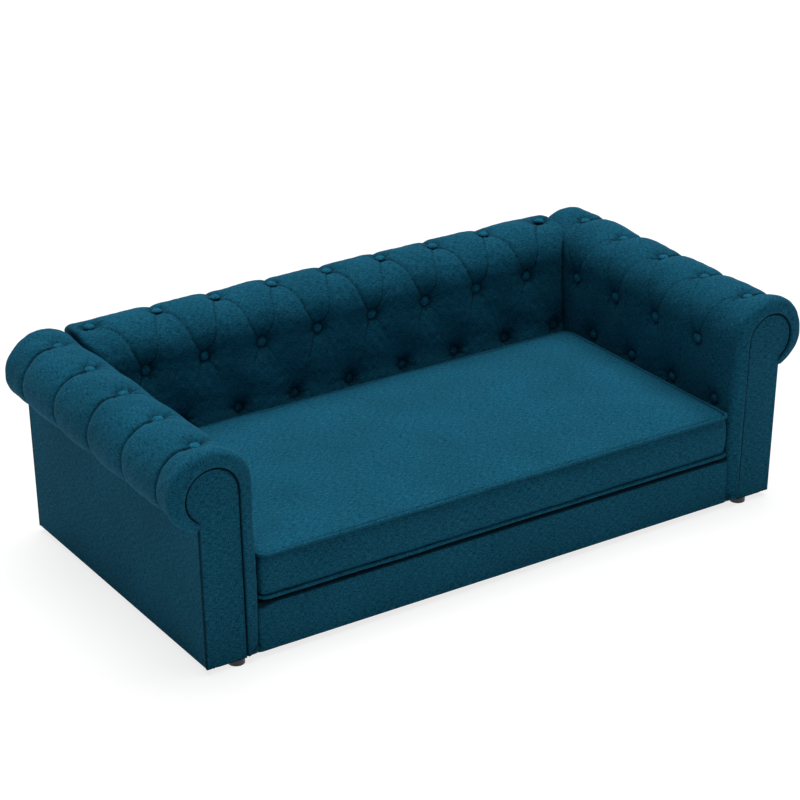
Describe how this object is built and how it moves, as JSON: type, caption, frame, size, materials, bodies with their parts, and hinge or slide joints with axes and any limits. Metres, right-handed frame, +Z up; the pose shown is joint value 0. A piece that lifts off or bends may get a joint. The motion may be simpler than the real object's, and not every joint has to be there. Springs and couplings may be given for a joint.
{
  "type": "dog sofa bed",
  "caption": "Low chesterfield sofa bed for a dog: rolled, deep-buttoned arms and back round a boxed seat, with a loose zipped cushion on small round feet.",
  "frame": {"origin": "on the floor, under the middle of the whole sofa", "axes": "+X along the seat to the sitter's left as seen from the front (the right of the picture), +Y from the front edge to the back, +Z up"},
  "size_m": [0.9842, 0.5047, 0.3016],
  "materials": {
    "teal_fabric": "heathered linen-look weave, deep teal, matt",
    "black_cloth": "thin non-woven dust cloth",
    "foam": "open-cell foam",
    "plywood": "raw plywood",
    "pine": "planed softwood",
    "hardboard": "hardboard",
    "black_plastic": "moulded, fine grain",
    "zip_tape": "woven tape",
    "zip_teeth": "nylon coil",
    "zip_metal": "painted die-cast metal"
  },
  "bodies": {
    "root": {"back_bottom_rail": "pine", "back_buttons": "teal_fabric", "back_end_boards": "plywood", "back_foam": "foam", "back_inner_sheet": "hardboard", "back_rear_board": "hardboard", "back_rear_cover": "teal_fabric", "back_ribs": "plywood", "back_roll_former": "hardboard", "back_tufted_cover": "teal_fabric", "back_upper_rails": "pine", "dust_cloths": "black_cloth", "feet": "black_plastic", "left_arm_battens": "pine", "left_arm_buttons": "teal_fabric", "left_arm_facing_board": "hardboard", "left_arm_facing_cover": "teal_fabric", "left_arm_foam": "foam", "left_arm_front_board": "plywood", "left_arm_inner_sheet": "hardboard", "left_arm_outer_board": "hardboard", "left_arm_outer_cover": "teal_fabric", "left_arm_rear_board": "plywood", "left_arm_rear_cover": "teal_fabric", "left_arm_roll_former": "hardboard", "left_arm_side_rail": "pine", "left_arm_tufted_cover": "teal_fabric", "right_arm_battens": "pine", "right_arm_buttons": "teal_fabric", "right_arm_facing_board": "hardboard", "right_arm_facing_cover": "teal_fabric", "right_arm_foam": "foam", "right_arm_front_board": "plywood", "right_arm_inner_sheet": "hardboard", "right_arm_outer_board": "hardboard", "right_arm_outer_cover": "teal_fabric", "right_arm_rear_board": "plywood", "right_arm_rear_cover": "teal_fabric", "right_arm_roll_former": "hardboard", "right_arm_side_rail": "pine", "right_arm_tufted_cover": "teal_fabric", "seat_corner_blocks": "pine", "seat_cover": "teal_fabric", "seat_cross_rails": "pine", "seat_deck": "plywood", "seat_end_rails": "pine", "seat_front_padding": "foam", "seat_front_rail": "pine", "seat_rear_rail": "pine"},
    "cushion": {"cushion_foam": "foam", "cushion_cover": "teal_fabric", "cushion_piping": "teal_fabric", "zip_tape": "zip_tape", "zip_teeth": "zip_teeth"},
    "zip_slider_body": {"zip_slider": "zip_metal"},
    "zip_pull_body": {"zip_pull": "zip_metal"}
  },
  "joints": [
    {"name": "cushion_lift", "type": "slide", "parent": "root", "child": "cushion", "axis": [0, 0, 1], "range_m": [0, 0.24]},
    {"name": "zip_slide", "type": "slide", "parent": "cushion", "child": "zip_slider_body", "axis": [-1, 0, 0], "range_m": [0, 0.536]},
    {"name": "zip_pull_swing", "type": "hinge", "parent": "zip_slider_body", "child": "zip_pull_body", "pos_m": [0.268, 0.1206, 0.111], "axis": [1, 0, 0], "range_deg": [-8, 18]}
  ]
}
